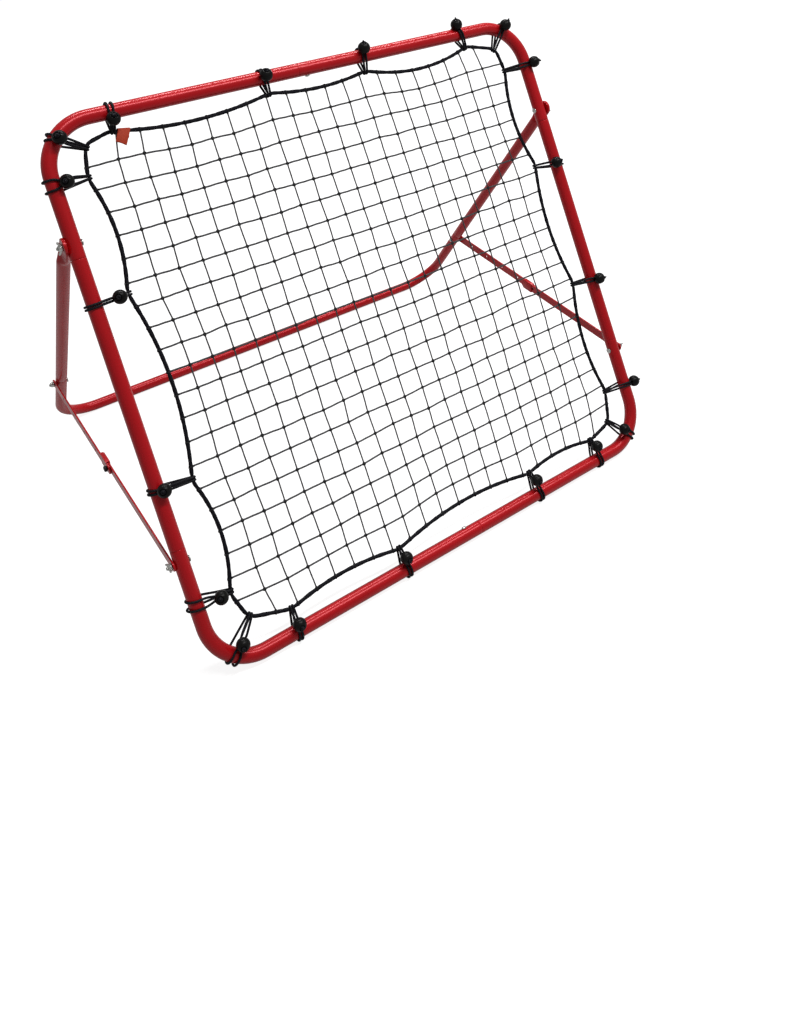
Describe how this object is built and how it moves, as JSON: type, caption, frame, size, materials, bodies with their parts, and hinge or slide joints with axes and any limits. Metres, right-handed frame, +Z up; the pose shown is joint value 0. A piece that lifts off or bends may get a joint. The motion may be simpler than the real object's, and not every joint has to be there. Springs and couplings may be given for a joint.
{
  "type": "rebound net",
  "caption": "Square rope net hung with ball bungees in a tube frame, leaning back on a folding tube stand with flat adjustable braces",
  "frame": {"origin": "middle of the bounding box's underside, on the floor", "axes": "X across the frame to the right as seen from the front, Y from the front to the stand behind, Z up"},
  "size_m": [1.0536, 0.8036, 0.8255],
  "materials": {
    "red_powder_coat": "gloss",
    "zinc_plated_steel": "satin",
    "black_ball_plastic": "matte",
    "black_knob_plastic": "matte",
    "black_net_twine": "matte",
    "black_braided_rope": "matte",
    "red_tag_cloth": "matte"
  },
  "bodies": {
    "net_frame": {"frame_lower_left": "red_powder_coat", "frame_lower_right": "red_powder_coat", "frame_side_left": "red_powder_coat", "frame_side_right": "red_powder_coat", "frame_upper_left": "red_powder_coat", "frame_upper_right": "red_powder_coat", "net": "black_net_twine", "border_rope": "black_braided_rope", "tag": "red_tag_cloth", "top_joint_screw": "zinc_plated_steel", "bottom_joint_screw": "zinc_plated_steel", "pivot_bolt_left": "zinc_plated_steel", "pivot_bolt_right": "zinc_plated_steel", "brace_foot_bolt_left": "zinc_plated_steel", "brace_foot_bolt_right": "zinc_plated_steel", "bungee_bottom_1": "black_ball_plastic", "bungee_bottom_2": "black_ball_plastic", "bungee_bottom_3": "black_ball_plastic", "bungee_bottom_4": "black_ball_plastic", "bungee_corner_bottom_left": "black_ball_plastic", "bungee_corner_bottom_right": "black_ball_plastic", "bungee_corner_top_left": "black_ball_plastic", "bungee_corner_top_right": "black_ball_plastic", "bungee_left_1": "black_ball_plastic", "bungee_left_2": "black_ball_plastic", "bungee_left_3": "black_ball_plastic", "bungee_left_4": "black_ball_plastic", "bungee_right_1": "black_ball_plastic", "bungee_right_2": "black_ball_plastic", "bungee_right_3": "black_ball_plastic", "bungee_right_4": "black_ball_plastic", "bungee_top_1": "black_ball_plastic", "bungee_top_2": "black_ball_plastic", "bungee_top_3": "black_ball_plastic", "bungee_top_4": "black_ball_plastic"},
    "stand": {"stand_arm_left": "red_powder_coat", "stand_arm_right": "red_powder_coat", "rear_foot_left": "red_powder_coat", "rear_foot_right": "red_powder_coat", "foot_joint_screw": "zinc_plated_steel", "brace_top_bolt_left": "zinc_plated_steel", "brace_top_bolt_right": "zinc_plated_steel"},
    "upper_bar_left": {"brace_upper_bar_left": "red_powder_coat"},
    "lower_bar_left": {"brace_lower_bar_left": "red_powder_coat"},
    "knob_left": {"brace_knob_left": "black_knob_plastic"},
    "pivot_nut_left": {"pivot_wing_nut_left": "zinc_plated_steel"},
    "brace_foot_nut_left": {"brace_foot_wing_nut_left": "zinc_plated_steel"},
    "brace_top_nut_left": {"brace_top_wing_nut_left": "zinc_plated_steel"},
    "upper_bar_right": {"brace_upper_bar_right": "red_powder_coat"},
    "lower_bar_right": {"brace_lower_bar_right": "red_powder_coat"},
    "knob_right": {"brace_knob_right": "black_knob_plastic"},
    "pivot_nut_right": {"pivot_wing_nut_right": "zinc_plated_steel"},
    "brace_foot_nut_right": {"brace_foot_wing_nut_right": "zinc_plated_steel"},
    "brace_top_nut_right": {"brace_top_wing_nut_right": "zinc_plated_steel"}
  },
  "joints": [
    {"name": "stand_fold", "type": "hinge", "parent": "net_frame", "child": "stand", "pos_m": [0, -0.00005, 0.63014], "axis": [1, 0, 0], "range_deg": [-28, 0]},
    {"name": "brace_top_hinge_left", "type": "hinge", "parent": "stand", "child": "upper_bar_left", "pos_m": [-0.5158, 0.28169, 0.18359], "axis": [1, 0, 0], "range_deg": [0, 14]},
    {"name": "brace_foot_hinge_left", "type": "hinge", "parent": "net_frame", "child": "lower_bar_left", "pos_m": [-0.502, -0.27867, 0.18164], "axis": [1, 0, 0], "range_deg": [-14, 0]},
    {"name": "brace_knob_pull_left", "type": "slide", "parent": "upper_bar_left", "child": "knob_left", "axis": [-0.9998, -0.0184, -0.0001], "range_m": [0, 0.012]},
    {"name": "pivot_nut_turn_left", "type": "hinge", "parent": "net_frame", "child": "pivot_nut_left", "pos_m": [-0.5053, -0.00005, 0.63014], "axis": [1, 0, 0], "range_deg": [-180, 180]},
    {"name": "brace_foot_nut_turn_left", "type": "hinge", "parent": "net_frame", "child": "brace_foot_nut_left", "pos_m": [-0.50375, -0.27867, 0.18164], "axis": [1, 0, 0], "range_deg": [-180, 180]},
    {"name": "brace_top_nut_turn_left", "type": "hinge", "parent": "stand", "child": "brace_top_nut_left", "pos_m": [-0.51755, 0.28169, 0.18359], "axis": [1, 0, 0], "range_deg": [-180, 180]},
    {"name": "brace_top_hinge_right", "type": "hinge", "parent": "stand", "child": "upper_bar_right", "pos_m": [0.5158, 0.28169, 0.18359], "axis": [1, 0, 0], "range_deg": [0, 14]},
    {"name": "brace_foot_hinge_right", "type": "hinge", "parent": "net_frame", "child": "lower_bar_right", "pos_m": [0.502, -0.27867, 0.18164], "axis": [1, 0, 0], "range_deg": [-14, 0]},
    {"name": "brace_knob_pull_right", "type": "slide", "parent": "upper_bar_right", "child": "knob_right", "axis": [0.9998, -0.0184, -0.0001], "range_m": [0, 0.012]},
    {"name": "pivot_nut_turn_right", "type": "hinge", "parent": "net_frame", "child": "pivot_nut_right", "pos_m": [0.5053, -0.00005, 0.63014], "axis": [1, 0, 0], "range_deg": [-180, 180]},
    {"name": "brace_foot_nut_turn_right", "type": "hinge", "parent": "net_frame", "child": "brace_foot_nut_right", "pos_m": [0.50375, -0.27867, 0.18164], "axis": [1, 0, 0], "range_deg": [-180, 180]},
    {"name": "brace_top_nut_turn_right", "type": "hinge", "parent": "stand", "child": "brace_top_nut_right", "pos_m": [0.51755, 0.28169, 0.18359], "axis": [1, 0, 0], "range_deg": [-180, 180]}
  ],
  "couplings": [
    {"joint": "brace_top_hinge_left", "follows": "stand_fold", "ratio": -0.5},
    {"joint": "brace_foot_hinge_left", "follows": "stand_fold", "ratio": 0.5},
    {"joint": "brace_top_hinge_right", "follows": "stand_fold", "ratio": -0.5},
    {"joint": "brace_foot_hinge_right", "follows": "stand_fold", "ratio": 0.5}
  ]
}
